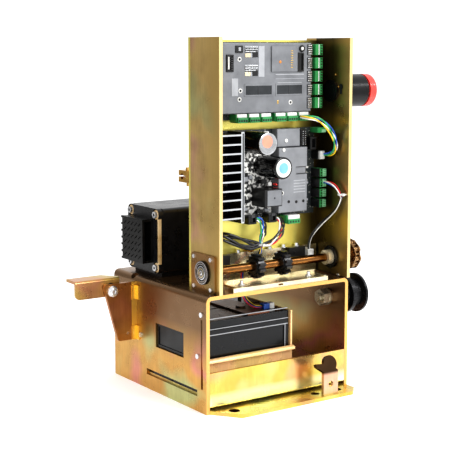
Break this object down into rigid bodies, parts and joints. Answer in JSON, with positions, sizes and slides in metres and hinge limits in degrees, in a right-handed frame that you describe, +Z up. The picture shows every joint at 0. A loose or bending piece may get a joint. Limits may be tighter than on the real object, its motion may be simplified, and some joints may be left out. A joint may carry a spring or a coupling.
{
  "type": "slide gate operator",
  "caption": "Slide gate opener with its cover off: bent sheet chassis, motor and gear case, limit shaft and chain, batteries, release lever and a channel of circuit boards.",
  "frame": {"origin": "centre of the anchor bolt pattern, on the pad that the foot plate stands on", "axes": "+Z up, -Y out of the open front with the circuit boards, +X towards the side where the chains run"},
  "size_m": [0.3943, 0.317, 0.49],
  "materials": {
    "gold_sheet": "yellow zinc plate",
    "bright_steel": "clear zinc plate",
    "shaft_steel": "drawn, lightly oiled",
    "dark_steel": "oiled",
    "nut_plastic": "moulded",
    "bronze": "turned",
    "case_metal": "cast",
    "motor_black": "satin",
    "battery_case": "moulded",
    "rubber_black": "matte",
    "board_green": "solder mask",
    "cover_grey": "moulded",
    "plug_green": "moulded",
    "part_black": "moulded",
    "sink_metal": "anodised",
    "button_red": "moulded",
    "clamp_metal": "tinned",
    "wire_cover": "flexible insulation"
  },
  "bodies": {
    "operator": {"battery_front": "battery_case", "battery_rear": "battery_case", "battery_strap": "gold_sheet", "battery_tray": "gold_sheet", "bearing_outer_rings": "bright_steel", "bearing_plates": "gold_sheet", "capacitors": "part_black", "chassis": "gold_sheet", "circuit_boards": "board_green", "control_channel": "gold_sheet", "detent_posts": "bright_steel", "detent_springs": "dark_steel", "detent_strip": "gold_sheet", "fin_pad": "motor_black", "foot_plate": "gold_sheet", "front_apron": "gold_sheet", "gear_case": "case_metal", "ground_clamp": "clamp_metal", "heat_sink": "sink_metal", "idler_bolts": "bright_steel", "inner_floor": "gold_sheet", "lever_bracket": "gold_sheet", "lever_pivot_bolt": "bright_steel", "limit_chain": "dark_steel", "limit_switches": "part_black", "main_cover": "cover_grey", "motor_body": "motor_black", "motor_cable": "wire_cover", "motor_end_cap": "case_metal", "padlock_hasp": "gold_sheet", "pivot_washer": "rubber_black", "power_cover": "cover_grey", "relay": "part_black", "reset_barrel": "part_black", "rubber_rings": "rubber_black", "screws": "bright_steel", "standoffs": "bright_steel", "switch_rail": "bright_steel", "terminal_plugs": "plug_green", "wires_battery": "wire_cover", "wires_centre": "wire_cover", "wires_side": "wire_cover", "wires_upper": "wire_cover"},
    "release_lever": {"release_lever": "gold_sheet"},
    "reset_button": {"reset_button": "button_red"},
    "output": {"output_shaft": "shaft_steel", "drive_wheel": "dark_steel", "output_limit_wheel": "dark_steel"},
    "limit_shaft": {"limit_shaft": "shaft_steel", "limit_wheel": "dark_steel", "shaft_collars": "bright_steel", "bearing_inner_rings": "bright_steel"},
    "limit_nut_left": {"limit_nut_left": "nut_plastic"},
    "limit_nut_right": {"limit_nut_right": "nut_plastic"},
    "detent_plate": {"detent_plate": "bright_steel"},
    "idler_front": {"idler_wheel_front": "dark_steel", "idler_bush_front": "bronze"},
    "idler_rear": {"idler_wheel_rear": "dark_steel", "idler_bush_rear": "bronze"}
  },
  "joints": [
    {"name": "lever_pivot", "type": "hinge", "parent": "operator", "child": "release_lever", "pos_m": [-0.158, 0.0655, 0.139], "axis": [0, 1, 0], "range_deg": [0, 90]},
    {"name": "reset_press", "type": "slide", "parent": "operator", "child": "reset_button", "axis": [-1, 0, 0], "range_m": [0, 0.003], "stiffness_N_per_m": 400, "springref_m": -0.003},
    {"name": "output_spin", "type": "hinge", "parent": "operator", "child": "output", "pos_m": [0.133, 0, 0.20252], "axis": [1, 0, 0], "range_deg": [-4320, 4320]},
    {"name": "limit_spin", "type": "hinge", "parent": "operator", "child": "limit_shaft", "pos_m": [0, -0.0865, 0.182], "axis": [1, 0, 0], "range_deg": [-4320, 4320], "deforming": ["limit_chain"]},
    {"name": "limit_nut_left_slide", "type": "slide", "parent": "operator", "child": "limit_nut_left", "axis": [1, 0, 0], "range_m": [-0.0381, 0.0381]},
    {"name": "limit_nut_right_slide", "type": "slide", "parent": "operator", "child": "limit_nut_right", "axis": [1, 0, 0], "range_m": [-0.0381, 0.0381]},
    {"name": "detent_press", "type": "slide", "parent": "operator", "child": "detent_plate", "axis": [0, 0, -1], "range_m": [0, 0.0026], "stiffness_N_per_m": 2000, "springref_m": -0.003, "deforming": ["detent_springs"]},
    {"name": "idler_front_spin", "type": "hinge", "parent": "operator", "child": "idler_front", "pos_m": [0.1445, -0.0825, 0.124], "axis": [1, 0, 0], "continuous": true},
    {"name": "idler_rear_spin", "type": "hinge", "parent": "operator", "child": "idler_rear", "pos_m": [0.1445, 0.0825, 0.124], "axis": [1, 0, 0], "continuous": true}
  ],
  "couplings": [
    {"joint": "limit_spin", "follows": "output_spin", "ratio": 1},
    {"joint": "limit_nut_left_slide", "follows": "output_spin", "m_per_rad": 0.00050532},
    {"joint": "limit_nut_right_slide", "follows": "output_spin", "m_per_rad": 0.00050532}
  ]
}
